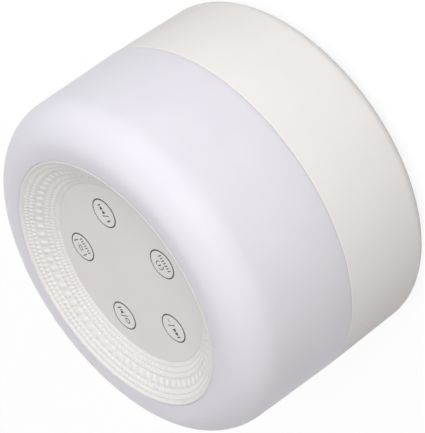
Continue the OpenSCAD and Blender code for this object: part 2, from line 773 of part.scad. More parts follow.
module key_board() color(board_green) {
    difference() {
        translate([0, 0, z_key_board - board_t]) cylinder(r = key_board_r, h = board_t);
        around(POST_ANGLES, panel_post_circle_r) translate([0, 0, z_key_board - board_t - cut])
            cylinder(r = small_screw_d / 2 + screw_fit, h = board_t + 2 * cut, $fn = 32);
    }
}

module key_board_screws() color(steel) {
    around(POST_ANGLES, panel_post_circle_r) translate([0, 0, z_key_board - board_t])
        screw(small_screw_d, board_t + small_bite - 0.2, small_head_h);
}

module main_board() color(board_green) {
    difference() {
        translate([0, 0, z_main_board]) cylinder(r = main_board_r, h = board_t);
        around([0:120:240], main_screw_circle_r) translate([0, 0, z_main_board - cut])
            cylinder(r = small_screw_d / 2 + screw_fit, h = board_t + 2 * cut, $fn = 32);
    }
}

module main_board_screws() color(steel) {
    around([0:120:240], main_screw_circle_r) translate([0, 0, z_main_board + board_t]) rotate([180, 0, 0])
        screw(small_screw_d, board_t + small_bite - 0.2, small_head_h);
}

module controller_chip() color(dark)
    translate([-controller_w / 2, connector_w / 2 + 1.5, z_main_board + board_t])
        cube([controller_w, controller_w, chip_h]);

module amplifier_chip() color(dark)
    translate([ribbon_w / 2 + 2.5, -amplifier_l / 2, z_main_board + board_t])
        cube([amplifier_w, amplifier_l, chip_h]);

module capacitors() color("#39404F") {
    around([180, 216], capacitor_circle_r) translate([0, 0, z_main_board + board_t])
        cylinder(r = capacitor_d / 2, h = capacitor_h);
    around([300], capacitor_circle_r) translate([0, 0, z_main_board + board_t])
        cylinder(r = capacitor_d / 2 - 0.5, h = capacitor_h * 0.7);
}

module board_connectors() color("#EDE8DC") {
    for (z = [z_main_board + board_t, z_key_board - board_t - connector_h])
        translate([-ribbon_w / 2 - 1, -connector_w / 2, z]) cube([ribbon_w + 2, connector_w, connector_h]);
    for (plug = [[-90, plug_circle_r], [90, plug_circle_r], [LED_LEAD_ANGLE, led_plug_circle_r]])
        around([plug[0]], plug[1]) translate([-connector_w / 2, -plug_w / 2, z_plugs])
            cube([connector_w, plug_w, connector_h]);
}

module usb_board() color(board_green) {
    w = 2 * usb_post_x + 2 * small_screw_d;
    y_front = y_inlet_floor - inlet_wall - fit;
    y_back = y_usb_post - 2 * small_screw_d;
    difference() {
        translate([-w / 2, y_back, z_usb_board]) cube([w, y_front - y_back, board_t]);
        for (x = [-usb_post_x, usb_post_x]) translate([x, y_usb_post, z_usb_board - cut])
            cylinder(r = small_screw_d / 2 + screw_fit, h = board_t + 2 * cut, $fn = 32);
    }
}

module usb_socket() color(steel) {
    tongue = 0.7;
    shell = 0.35;
    r = socket_h / 2;
    translate([0, y_inlet_floor, z_inlet]) rotate([90, 0, 0]) {
        difference() {
            socket_bar(socket_w, r, 0, socket_l);
            socket_bar(socket_w - 2 * shell, r - shell, -cut, socket_l - cut + shell);
        }
        translate([-socket_w / 2 + r, -tongue / 2, cut]) cube([socket_w - 2 * r, tongue, socket_l - cut]);
    }
}

// A bar with round sides, w wide and 2r high, from z to z + l.
module socket_bar(w, r, z, l) {
    for (x = [-1, 1]) translate([x * (w / 2 - r), 0, z]) cylinder(r = r, h = l, $fn = 32);
    translate([-w / 2 + r, -r, z]) cube([w - 2 * r, 2 * r, l]);
}

module usb_board_screws() color(steel) {
    for (x = [-usb_post_x, usb_post_x]) translate([x, y_usb_post, z_usb_board + board_t]) rotate([180, 0, 0])
        screw(small_screw_d, board_t + small_bite - 0.2, small_head_h);
}

// A pair of leads whose points are given as [distance from the axis, height] at the angle a.
module lead_pair(a, points) rotate(a)
    for (y = [-lead_pitch / 2, lead_pitch / 2]) lead([for (p = points) [p[0], y, p[1]]], [0, 1, 0]);

module speaker_leads() color("#B03A34") {
    tag = (basket_r + speaker_r) / 2;
    lead_pair(-90, [
        [tag, z_basket], [tag, z_basket + basket_h * 0.7], [lead_run_r + 2, z_magnet + 1],
        [lead_run_r, z_magnet_top],
        [plug_circle_r, z_seam - plate_t], [plug_circle_r, z_seam], [plug_circle_r, z_plugs]
    ]);
}

module usb_leads() color("#C44B3F") {
    tag = y_usb_post - 1.5 * small_screw_d;
    z_tag = z_usb_board + board_t;
    lead_pair(90, [
        [tag, z_tag], [tag, z_tag + 2.5], [tag - 4, z_magnet], [lead_run_r, z_magnet_top],
        [plug_circle_r, z_seam - plate_t], [plug_circle_r, z_seam], [plug_circle_r, z_plugs]
    ]);
}

module led_leads() color("#E6E6E6") {
    tag = led_board_inner_r + solder_strip / 2;
    z_slot = z_seam + lead_slot_h / 2;
    lead_pair(LED_LEAD_ANGLE, [
        [tag, z_led_board], [tag, z_led_board + 1], [tower_r + 1.5, z_slot], [tower_bore_r - 1.5, z_slot],
        [led_plug_circle_r + 1, z_slot], [led_plug_circle_r, z_plugs - 0.6], [led_plug_circle_r, z_plugs]
    ]);
}

module key_ribbon() color("#D8D8DA") {
    low = z_main_board + board_t + connector_h;
    high = z_key_board - board_t - connector_h;
    translate([-ribbon_w / 2, -ribbon_t / 2, low]) cube([ribbon_w, ribbon_t, high - low]);
}

base_shell();
bottom_cover();
rubber_feet();
cover_screws();
speaker_gasket();
speaker_frame();
speaker_surround();
speaker_cone();
dust_cap();
voice_coil();
speaker_magnet();
speaker_yoke();
speaker_screws();
chassis();
light_tower();
tower_screws();
led_board();
leds();
light_reflector();
led_board_screws();
diffuser();
trim_ring();
ring_screws();
control_panel();
key_power();
key_light();
key_next();
key_previous();
key_timer();
plunger_power();
plunger_light();
plunger_next();
plunger_previous();
plunger_timer();
switch_housings();
key_board();
key_board_screws();
main_board();
main_board_screws();
controller_chip();
amplifier_chip();
capacitors();
board_connectors();
usb_board();
usb_socket();
usb_board_screws();
speaker_leads();
usb_leads();
led_leads();
key_ribbon();
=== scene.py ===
# White noise sound machine: its camera, finishes, shells, ribbed ring with painted groove shade, key prints
# with painted gap shade, and studio.
# Lengths are in millimetres and angles in degrees, except where a comment says metres.
import math

import bmesh
import bpy
from mathutils import Matrix, Vector


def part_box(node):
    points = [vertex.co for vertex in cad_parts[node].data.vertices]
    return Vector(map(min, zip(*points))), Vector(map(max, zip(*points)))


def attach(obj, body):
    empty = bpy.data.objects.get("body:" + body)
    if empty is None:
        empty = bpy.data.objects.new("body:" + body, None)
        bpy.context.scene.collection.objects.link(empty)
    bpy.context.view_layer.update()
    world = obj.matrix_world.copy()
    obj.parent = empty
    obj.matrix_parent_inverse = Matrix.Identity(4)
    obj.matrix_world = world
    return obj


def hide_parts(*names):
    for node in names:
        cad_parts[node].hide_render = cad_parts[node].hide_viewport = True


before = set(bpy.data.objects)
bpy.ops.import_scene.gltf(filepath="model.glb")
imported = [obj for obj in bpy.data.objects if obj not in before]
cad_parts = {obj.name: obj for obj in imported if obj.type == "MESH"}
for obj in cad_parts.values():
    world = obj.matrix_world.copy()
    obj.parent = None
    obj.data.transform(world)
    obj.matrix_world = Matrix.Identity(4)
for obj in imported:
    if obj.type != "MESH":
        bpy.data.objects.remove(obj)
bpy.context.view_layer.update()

MM = 0.001             # in metres

# Sizes of the CAD model
BODY_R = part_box("base_shell")[1].x / MM
Z_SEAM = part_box("diffuser")[0].z / MM
Z_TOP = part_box("diffuser")[1].z / MM
Z_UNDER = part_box("base_shell")[0].z / MM
RING_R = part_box("trim_ring")[1].x / MM
PANEL_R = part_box("control_panel")[1].x / MM
Z_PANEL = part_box("control_panel")[1].z / MM
Z_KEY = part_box("key_power")[1].z / MM
FIT = 0.15
BASE_FILLET = 4.5
BASE_WALL = 2.2
BASE_RIM = 1.6
COVER_T = 2.4
LEDGE_T = 2
POST_D = 6.8           # the chassis posts, which stand on the base's ledge
LIP_T = 1.6
LIP_H = 2.2
DIFFUSER_WALL = 2
DIFFUSER_DRAFT = 0.9
SHOULDER_R = 12.8
CROWN_R = 8.4
CROWN_ANGLE = 60       # where the shoulder's arc runs into the crown's
SEAT_T = 1.6
SEAT_W = 1.7
RING_DROP = 0.6
RING_FLANGE_T = 2.1
RING_T = 2
RING_FOOT_R = 29
PANEL_T = 1.6
PANEL_SEAT_W = 3.1
KEY_R = 4.56
KEY_MARGIN = 9.4       # from the panel's edge to a key's middle
KEYS = {"power": 126, "light": 54, "next": -18, "previous": 198, "timer": -90}    # places round the panel
INLET_W = 13
INLET_H = 7.5
INLET_DEPTH = 4.5
INLET_WALL = 2
INLET_RISE = 12        # from the base's underside to the inlet's middle
Z_INLET = Z_UNDER + INLET_RISE
SOCKET_W = 8.94
SOCKET_H = 3.26

# The ribbed surface of the trim ring
RING_GAP = 0.03        # what is left of the fit at the ring's two edges
RING_OUT = RING_R + FIT - RING_GAP
RING_IN = PANEL_R + RING_GAP
Z_RING_EDGE = Z_TOP - RING_DROP
RING_SLOPE = (Z_RING_EDGE - Z_PANEL) / (RING_R - PANEL_R - FIT)    # of the ring's underside
RIM_R = 0.4            # round outer edge, level with the diffuser
SLOPE_OUT_R = 39.35    # where the slope meets that edge
SLOPE_OUT_DROP = 0.3   # how far that is below the top
SLOPE_IN_R = 29.6      # where the slope runs out, level with the panel
SLOPE_RISE = (Z_TOP - SLOPE_OUT_DROP - Z_PANEL) / (SLOPE_OUT_R - SLOPE_IN_R)
SLOPE_TILT = math.atan(SLOPE_RISE)
SLOPE_STEP = 0.12      # length of a facet across the ring
GROOVES = [30.88, 32.18, 33.68, 36.18, 37.55, 38.82]    # radii, from the inside out
GROOVE_HALF_W = 0.3
GROOVE_DEPTH = 0.07
BANDS = [              # radius, half width, number of ribs and height of a rib, from the outside in
    (39.15, 0.28, 180, 0.05), (38.1, 0.6, 180, 0.25), (36.75, 0.64, 144, 0.33),
    (32.88, 0.68, 144, 0.26), (31.52, 0.62, 180, 0.25), (30.2, 0.58, 180, 0.13),
]
BAND_CROWN = 0.05      # height of a band between its ribs
BEAD_COUNT = 72
BEAD_CIRCLE_R = 34.8
BEAD_HALF_LENGTH = 1.0     # across the ring
BEAD_HALF_WIDTH = 0.86     # around the ring
BEAD_H = 0.38


# ---------------------------------------------------------------- camera

CAMERA_AZIMUTH = -81.223
CAMERA_ELEVATION = 30.134
CAMERA_DISTANCE = 562.8    # from the aim point
CAMERA_AIM_Z = 29.5
CAMERA_YAW = 0.0325        # small turns that set the drum's place in the frame
CAMERA_PITCH = 0.4056
CAMERA_ROLL = 125.173
CAMERA_LENS = 159.89       # focal length
SENSOR_W = 36


def toward(azimuth, elevation):
    """The unit vector at an azimuth, counted from +X, and an elevation."""
    turn, rise = math.radians(azimuth), math.radians(elevation)
    return Vector((math.cos(rise) * math.cos(turn), math.cos(rise) * math.sin(turn), math.sin(rise)))


def add_camera():
    out = toward(CAMERA_AZIMUTH, CAMERA_ELEVATION)
    right = Vector((0, 0, 1)).cross(out).normalized()
    up = out.cross(right)
    turn = Matrix((right, up, out)).transposed().to_4x4()
    for angle, axis in ((CAMERA_YAW, "Y"), (CAMERA_PITCH, "X"), (-CAMERA_ROLL, "Z")):
        turn = turn @ Matrix.Rotation(math.radians(angle), 4, axis)
    data = bpy.data.cameras.new("camera")
    data.sensor_width = SENSOR_W
    data.lens = CAMERA_LENS
    data.clip_start = 0.01    # in metres, as is clip_end
    data.clip_end = 50
    camera = bpy.data.objects.new("camera", data)
    bpy.context.scene.collection.objects.link(camera)
    place = Vector((0, 0, CAMERA_AIM_Z)) + out * CAMERA_DISTANCE
    camera.matrix_world = Matrix.Translation(place * MM) @ turn
    bpy.context.scene.camera = camera


add_camera()


# ---------------------------------------------------------------- materials

NOISE_LOW = 0.3                     # the stretch of a noise that a colour or a roughness follows
NOISE_HIGH = 0.7
TONE_SIZE = 14                      # soft patches of tone on moulded plastic
TONE_SPREAD = 0.012
SHEEN_SIZE = 5                      # soft patches of roughness on moulded plastic
SHEEN_SPREAD = 0.07
GROOVE_PAINTED_SHADE = 0.965                # painted shade: the share of the ring's colour kept in a groove, and on both sides of it
GROOVE_SIDE_PAINTED_SHADE = 0.97
EDGE_PAINTED_SHADES = [(29.5, 0.98), (29.9, 1), (30.4, 1)]    # radius and share of the colour at the ring's inner edge, painted a little darker where it meets the panel


class Material:
    """A Principled material whose colour, roughness and bump come from procedural nodes."""

    def __init__(self, name, roughness, **settings):
        """Settings are the shader's sockets, with _ in place of a space."""
        self.material = bpy.data.materials.new(name)
        self.material.use_nodes = True
        self.tree = self.material.node_tree
        self.shader = self.tree.nodes["Principled BSDF"]
        self.shader.inputs["Roughness"].default_value = roughness
        for socket, value in settings.items():
            self.shader.inputs[socket.replace("_", " ")].default_value = value
        self.position = self.node("ShaderNodeTexCoord").outputs["Object"]

    def node(self, kind, **values):
        """A new node with some of its inputs and properties set."""
        node = self.tree.nodes.new(kind)
        for key, value in values.items():
            if key in node.inputs:
                node.inputs[key].default_value = value
            else:
                setattr(node, key, value)
        return node

    def link(self, source, target):
        self.tree.links.new(source, target)

    def stretched(self, scale):
        """Object coordinates scaled by axis."""
        mapping = self.node("ShaderNodeMapping", Scale=scale)
        self.link(self.position, mapping.inputs["Vector"])
        return mapping.outputs["Vector"]

    def noise(self, size, detail=3, vector=None):
        """Noise whose features are size across."""
        node = self.node("ShaderNodeTexNoise", Scale=1 / (size * MM), Detail=detail)
        self.link(vector or self.position, node.inputs["Vector"])
        return node.outputs["Fac"]

    def ranged(self, value, start, end, low=0, high=1):
        """Maps start to low and end to high, and goes no further at either end."""
        node = self.node("ShaderNodeMapRange")
        for socket, number in (("From Min", start), ("From Max", end), ("To Min", low), ("To Max", high)):
            node.inputs[socket].default_value = number
        self.link(value, node.inputs["Value"])
        return node.outputs["Result"]

    def colours(self, factor, stops):
        """A colour ramp over factor; stops are (place, colour)."""
        ramp = self.node("ShaderNodeValToRGB")
        elements = ramp.color_ramp.elements
        while len(elements) < len(stops):
            elements.new(0.5)
        for element, (place, colour) in zip(elements, stops):
            element.position = place
            element.color = (*colour, 1)
        self.link(factor, ramp.inputs["Fac"])
        return ramp.outputs["Color"]

    def mottle(self, colour, spread, size):
        """A base colour that varies softly by spread."""
        low = [c * (1 - spread) for c in colour]
        high = [min(1, c * (1 + spread)) for c in colour]
        output = self.colours(self.noise(size), [(NOISE_LOW, low), (NOISE_HIGH, high)])
        self.link(output, self.shader.inputs["Base Color"])
        return output

    def vary_roughness(self, low, high, size):
        varied = self.ranged(self.noise(size), NOISE_LOW, NOISE_HIGH, low, high)
        self.link(varied, self.shader.inputs["Roughness"])

    def bump(self, height, depth, strength):
        node = self.node("ShaderNodeBump", Strength=strength, Distance=depth * MM)
        self.link(height, node.inputs["Height"])
        self.link(node.outputs["Normal"], self.shader.inputs["Normal"])

    def grain(self, roughness, size, depth):
        """The fine spark-eroded texture of a mould and a sheen that varies a little."""
        self.vary_roughness(roughness * (1 - SHEEN_SPREAD), roughness * (1 + SHEEN_SPREAD), SHEEN_SIZE)
        self.bump(self.noise(size), depth, strength=0.5)


def moulded(name, colour, roughness, grain_size=0.35, grain_depth=0.01, spread=TONE_SPREAD, **settings):
    """Moulded plastic or rubber."""
    made = Material(name, roughness, **settings)
    made.mottle(colour, spread, TONE_SIZE)
    made.grain(roughness, grain_size, grain_depth)
    return made.material


def painted_shade_by_radius(name, colour, roughness, painted_shades, grain_size, grain_depth, **settings):
    """Moulded plastic with shade painted into its colour by radius: painted_shades are (radius, share of the
    colour).
    """
    made = Material(name, roughness, **settings)
    radius = made.node("ShaderNodeVectorMath", operation="LENGTH")
    made.link(made.stretched((1, 1, 0)), radius.inputs[0])
    r_in, r_out = painted_shades[0][0], painted_shades[-1][0]
    place = made.ranged(radius.outputs["Value"], r_in * MM, r_out * MM)
    stops = [((r - r_in) / (r_out - r_in), [share] * 3) for r, share in painted_shades]
    painted_shade = made.colours(place, stops)
    tint = made.mottle(colour, TONE_SPREAD, TONE_SIZE)
    mix = made.node("ShaderNodeMix", data_type="RGBA", blend_type="MULTIPLY")
    mix.inputs["Factor"].default_value = 1
    made.link(tint, mix.inputs["A"])
    made.link(painted_shade, mix.inputs["B"])
    made.link(mix.outputs["Result"], made.shader.inputs["Base Color"])
    made.grain(roughness, grain_size, grain_depth)
    return made.material


def ring_painted_shades():
    """The ring's painted shade as (radius, share): darkest in the grooves, and full halfway between them."""
    painted_shades = list(EDGE_PAINTED_SHADES)
    for groove, following in zip(GROOVES, GROOVES[1:]):
        painted_shades += [(groove, GROOVE_PAINTED_SHADE), (groove + GROOVE_HALF_W, GROOVE_SIDE_PAINTED_SHADE)]
        painted_shades += [((groove + following) / 2, 1), (following - GROOVE_HALF_W, GROOVE_SIDE_PAINTED_SHADE)]
    return painted_shades + [(GROOVES[-1], GROOVE_PAINTED_SHADE), (BANDS[0][0], 1)]


def brushed(name, colour, roughness=0.34):
    """Zinc-plated or tinned steel, brushed along X."""
    made = Material(name, roughness, Metallic=1.0)
    made.mottle(colour, spread=0.06, size=4)
    made.vary_roughness(low=roughness * 0.8, high=roughness * 1.3, size=1.5)
    lines = made.noise(size=0.4, detail=4, vector=made.stretched((0.08, 1, 1)))
    made.bump(lines, depth=0.012, strength=0.5)
    return made.material


def board_finish(name, mask, trace):
    """Solder mask over copper traces."""
    made = Material(name, roughness=0.32)
    brick = made.node("ShaderNodeTexBrick", Scale=160)
    brick.inputs["Color1"].default_value = (*mask, 1)
    brick.inputs["Color2"].default_value = (*[c * 1.12 for c in mask], 1)
    brick.inputs["Mortar"].default_value = (*trace, 1)
    brick.inputs["Mortar Size"].default_value = 0.03
    made.link(made.position, brick.inputs["Vector"])
    made.link(brick.outputs["Color"], made.shader.inputs["Base Color"])
    made.bump(brick.outputs["Fac"], depth=0.03, strength=0.6)
    made.vary_roughness(low=0.28, high=0.38, size=3)
    return made.material


def fibrous(name, colour):
    """Pressed paper pulp, open foam or sintered ferrite."""
    made = Material(name, roughness=0.9)
    made.mottle(colour, spread=0.25, size=0.9)
    made.bump(made.noise(size=0.5, detail=6), depth=0.12, strength=0.8)
    return made.material


def glossy_wire(name, colour):
    made = Material(name, roughness=0.35)
    made.mottle(colour, spread=0.05, size=3)
    made.bump(made.noise(size=1.2, detail=2), depth=0.02, strength=0.4)
    return made.material


def phosphor(name, colour):
    """Gel over a light-emitting die: yellow cells on a pale frame."""
    made = Material(name, roughness=0.25)
    cells = made.node("ShaderNodeTexVoronoi", Scale=700)
    made.link(made.position, cells.inputs["Vector"])
    tint = made.colours(cells.outputs["Distance"], [(0.1, colour), (0.8, [c * 0.86 for c in colour])])
    made.link(tint, made.shader.inputs["Base Color"])
    made.bump(cells.outputs["Distance"], depth=0.02, strength=0.3)
    return made.material


IVORY = moulded(
    "ivory_plastic", (0.882, 0.848, 0.829), roughness=0.52,
    grain_size=0.4, grain_depth=0.012, Specular_IOR_Level=0.1,
)
DIFFUSER = moulded(
    "diffuser_plastic", (0.870, 0.840, 0.920), roughness=0.36,
    grain_size=0.9, grain_depth=0.004, Specular_IOR_Level=0.15,
    Subsurface_Weight=0.5, Subsurface_Radius=(1, 1, 1), Subsurface_Scale=0.003,    # the scale is in metres
)
# The ring's colour has shade painted into its grooves and, a little, at its inner edge.
RING = painted_shade_by_radius(
    "ring_plastic", (0.886, 0.858, 0.844), roughness=0.45, painted_shades=ring_painted_shades(),
    grain_size=0.3, grain_depth=0.006, Specular_IOR_Level=0.2,
)
PANEL = moulded(
    "panel_plastic", (0.928, 0.887, 0.880), roughness=0.62,
    grain_size=0.25, grain_depth=0.005, Specular_IOR_Level=0.2,
)
KEY = moulded(
    "key_plastic", (0.960, 0.919, 0.908), roughness=0.6,
    grain_size=0.25, grain_depth=0.005, Specular_IOR_Level=0.2,
)
# Dark ink for the printed symbols, also used as painted shade in the gaps round the keys.
INK_AND_GAP_SHADE = moulded(
    "printed_ink_and_gap_shade", (0.035, 0.033, 0.033), roughness=0.5,
    grain_size=0.2, grain_depth=0.004,
)
WHITE = moulded("inner_white_plastic", (0.80, 0.80, 0.80), roughness=0.45)
BLACK = moulded("black_plastic", (0.028, 0.028, 0.031), roughness=0.45)
RUBBER = moulded(
    "dark_rubber", (0.035, 0.035, 0.037), roughness=0.78,
    grain_size=0.5, grain_depth=0.03, spread=0.1,
)
FOAM = fibrous("gasket_foam", (0.045, 0.045, 0.047))
PAPER = fibrous("cone_paper", (0.06, 0.06, 0.064))
STEEL = brushed("zinc_steel", (0.60, 0.61, 0.63))
COPPER = brushed("copper_wire", (0.78, 0.40, 0.22), roughness=0.28)
FERRITE = fibrous("ferrite", (0.055, 0.055, 0.06))
BOARD = board_finish("circuit_board", mask=(0.03, 0.17, 0.08), trace=(0.22, 0.42, 0.18))
WHITE_BOARD = board_finish("white_board", mask=(0.78, 0.78, 0.76), trace=(0.66, 0.66, 0.62))
LED = phosphor("led_gel", (0.86, 0.74, 0.30))
RED_LEAD = glossy_wire("red_insulation", (0.52, 0.05, 0.045))
WHITE_LEAD = glossy_wire("white_insulation", (0.78, 0.78, 0.78))

# Screws, which are steel, are left out of this list
FINISH = {
    "base_shell": IVORY, "bottom_cover": IVORY, "diffuser": DIFFUSER, "trim_ring": RING,
    "control_panel": PANEL, "rubber_feet": RUBBER, "speaker_surround": RUBBER, "speaker_gasket": FOAM,
    "speaker_cone": PAPER, "dust_cap": PAPER, "voice_coil": COPPER, "speaker_magnet": FERRITE,
    "speaker_frame": STEEL, "speaker_yoke": STEEL, "usb_socket": STEEL, "chassis": WHITE,
    "light_tower": WHITE, "light_reflector": WHITE, "board_connectors": WHITE, "led_board": WHITE_BOARD,
    "leds": LED, "switch_housings": BLACK, "controller_chip": BLACK, "amplifier_chip": BLACK,
    "capacitors": BLACK, "key_board": BOARD, "main_board": BOARD, "usb_board": BOARD,
    "speaker_leads": RED_LEAD, "usb_leads": RED_LEAD, "led_leads": WHITE_LEAD, "key_ribbon": WHITE_LEAD,
}
for key_name in KEYS:
    FINISH["key_" + key_name] = KEY
    FINISH["plunger_" + key_name] = BLACK

for node_name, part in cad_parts.items():
    for material_slot in part.material_slots:
        material_slot.material = STEEL if node_name.endswith("_screws") else FINISH[node_name]


# ---------------------------------------------------------------- mesh helpers

SHARP_ANGLE = 35       # an edge that turns further than this is drawn sharp


def smooth(mesh):
    mesh.shade_smooth()
    mesh.set_sharp_from_angle(angle=math.radians(SHARP_ANGLE))


def add_mesh(name, verts, faces, material):
    """A closed mesh with its faces turned outwards, shaded smooth."""
    mesh = bpy.data.meshes.new(name)
    mesh.from_pydata([[c * MM for c in v] for v in verts], [], faces)
    mesh.materials.append(material)
    built = bmesh.new()
    built.from_mesh(mesh)
    bmesh.ops.recalc_face_normals(built, faces=built.faces)
    built.to_mesh(mesh)
    built.free()
    smooth(mesh)
    part = bpy.data.objects.new(name, mesh)
    bpy.context.scene.collection.objects.link(part)
    return part


def band_faces(rows, n, first=0):
    """The faces between rows of n points each, where the last row joins the first."""
    faces = []
    for i in range(rows):
        a, b = first + i * n, first + (i + 1) % rows * n
        faces += [(a + k, b + k, b + (k + 1) % n, a + (k + 1) % n) for k in range(n)]
    return faces


def prism_faces(n, first=0):
    """The faces of a prism whose two ends have n points each."""
    second, end = first + n, first + 2 * n
    faces = [tuple(range(first, second)), tuple(range(end - 1, second - 1, -1))]
    return faces + [(first + k, first + (k + 1) % n, second + (k + 1) % n, second + k) for k in range(n)]


def revolve(name, section, segments, material, relief=None):
    """Turns a closed section of (r, z) points about Z; relief may move each point at each angle."""
    verts = []
    for i in range(segments):
        angle = 2 * math.pi * i / segments
        c, s = math.cos(angle), math.sin(angle)
        for point in section:
            r, z = relief(point, angle) if relief else point
            verts.append((r * c, r * s, z))
    return add_mesh(name, verts, band_faces(segments, len(section)), material)


def arc(cx, cz, r, start, end, steps):
    """Points on a circle, between two angles."""
    turns = [math.radians(start + (end - start) * i / steps) for i in range(steps + 1)]
    return [(cx + r * math.cos(t), cz + r * math.sin(t)) for t in turns]


def tangent_angle(px, pz, cx, cz, r):
    """The angle on a circle where the line from a point below its right side touches it."""
    distance = math.hypot(px - cx, pz - cz)
    return math.degrees(math.atan2(pz - cz, px - cx) + math.acos(r / distance))


def stand_for(part, node):
    """Puts a piece of the housing in a CAD node's place."""
    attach(part, "housing")
    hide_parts(node)


# ---------------------------------------------------------------- diffuser

SHELL_SEGMENTS = 288
SEAM_EDGE_R = 0.3      # moulded edges on both sides of the seam
DISH_EDGE_R = 0.12     # the diffuser's edge at the dish
EDGE_STEPS = 4
SHOULDER_STEPS = 20
CROWN_STEPS = 9
CROWN_START = CROWN_ANGLE + 3    # the shoulder's arc already has the point at CROWN_ANGLE


def add_diffuser():
    turn = math.radians(CROWN_ANGLE)
    shoulder_x = BODY_R - DIFFUSER_DRAFT - SHOULDER_R
    crown_x = shoulder_x + (SHOULDER_R - CROWN_R) * math.cos(turn)
    crown_z = Z_TOP - CROWN_R
    shoulder_z = crown_z - (SHOULDER_R - CROWN_R) * math.sin(turn)
    z_seat = Z_RING_EDGE - RING_FLANGE_T
    opening = RING_R + FIT
    seat_bore = opening - SEAT_W
    inner_r = BODY_R - DIFFUSER_WALL
    inner_opening = opening + DIFFUSER_WALL
    inner_shoulder = SHOULDER_R - DIFFUSER_WALL
    outer_start = tangent_angle(BODY_R, Z_SEAM, shoulder_x, shoulder_z, SHOULDER_R)
    inner_start = tangent_angle(inner_r, Z_SEAM, shoulder_x, shoulder_z, inner_shoulder)
    section = arc(BODY_R - SEAM_EDGE_R, Z_SEAM + SEAM_EDGE_R, SEAM_EDGE_R, -90, 0, EDGE_STEPS)
    section += arc(shoulder_x, shoulder_z, SHOULDER_R, outer_start, CROWN_ANGLE, SHOULDER_STEPS)
    section += arc(crown_x, crown_z, CROWN_R, CROWN_START, 90, CROWN_STEPS)
    section += arc(opening + DISH_EDGE_R, Z_TOP - DISH_EDGE_R, DISH_EDGE_R, 90, 180, EDGE_STEPS)
    section += [(opening, z_seat), (seat_bore, z_seat), (seat_bore, z_seat - SEAT_T)]
    section += [(inner_opening, z_seat - SEAT_T), (inner_opening, Z_TOP - DIFFUSER_WALL)]
    section += arc(crown_x, crown_z, CROWN_R - DIFFUSER_WALL, 90, CROWN_START, CROWN_STEPS)
    section += arc(shoulder_x, shoulder_z, inner_shoulder, CROWN_ANGLE, inner_start, SHOULDER_STEPS)
    section += [(inner_r, Z_SEAM)]
    stand_for(revolve("diffuser_shell", section, SHELL_SEGMENTS, DIFFUSER), "diffuser")


# ---------------------------------------------------------------- base

COVER_EDGE_R = 0.25    # the base's edge round the bottom cover
COVER_EDGE_STEPS = 3
FILLET_STEPS = 14
CORNER_STEPS = 6
LIP_ROOT = 5           # how far the register lip reaches down inside the wall
INLET_CORNER_R = 1.2
SOCKET_CORNER_R = 1.6
BLOCK_INSET = 2.1      # from the drum's side to the inlet block's end, which lies in the wall
CUT_REACH = 5          # how far the cutting tools go out past the drum and in past the recess
CUT_OVERLAP = 1        # how far the slot's tool starts inside the recess


def box_mesh(name, low, high, corner=0):
    """An ivory box between two corners, with its edges along Y rounded."""
    (x0, y0, z0), (x1, y1, z1) = low, high
    left, right = x0 + corner, x1 - corner
    bottom, top = z0 + corner, z1 - corner
    outline = []
    for i, (x, z) in enumerate(((right, top), (left, top), (left, bottom), (right, bottom))):
        outline += arc(x, z, corner, 90 * i, 90 * i + 90, CORNER_STEPS) if corner else [(x, z)]
    verts = [(x, y, z) for y in (y0, y1) for x, z in outline]
    return add_mesh(name, verts, prism_faces(len(outline)), IVORY)


def combine(part, tool, operation):
    """Applies a boolean with a tool object and removes the tool."""
    modifier = part.modifiers.new("combine", "BOOLEAN")
    modifier.operation = operation
    modifier.solver = "EXACT"
    modifier.object = tool
    bpy.context.view_layer.update()
    evaluated = part.evaluated_get(bpy.context.evaluated_depsgraph_get())
    mesh = bpy.data.meshes.new_from_object(evaluated)
    part.modifiers.clear()
    part.data = mesh
    bpy.data.objects.remove(tool)


def base_section():
    z_cover = Z_UNDER + COVER_T
    z_ledge = z_cover + LEDGE_T
    lip_r = BODY_R - DIFFUSER_WALL - FIT
    inner_r = BODY_R - BASE_WALL
    cover_bore = BODY_R - BASE_FILLET - BASE_RIM
    ledge_bore = cover_bore - POST_D - 2 * FIT
    section = arc(cover_bore + COVER_EDGE_R, Z_UNDER + COVER_EDGE_R, COVER_EDGE_R, 180, 270, COVER_EDGE_STEPS)
    section += arc(BODY_R - BASE_FILLET, Z_UNDER + BASE_FILLET, BASE_FILLET, -90, 0, FILLET_STEPS)
    section += arc(BODY_R - SEAM_EDGE_R, Z_SEAM - SEAM_EDGE_R, SEAM_EDGE_R, 0, 90, EDGE_STEPS)
    section += [(lip_r, Z_SEAM), (lip_r, Z_SEAM + LIP_H), (lip_r - LIP_T, Z_SEAM + LIP_H)]
    section += [(lip_r - LIP_T, Z_SEAM - LIP_ROOT), (inner_r, Z_SEAM - LIP_ROOT), (inner_r, z_ledge)]
    return section + [(ledge_bore, z_ledge), (ledge_bore, z_cover), (cover_bore, z_cover)]


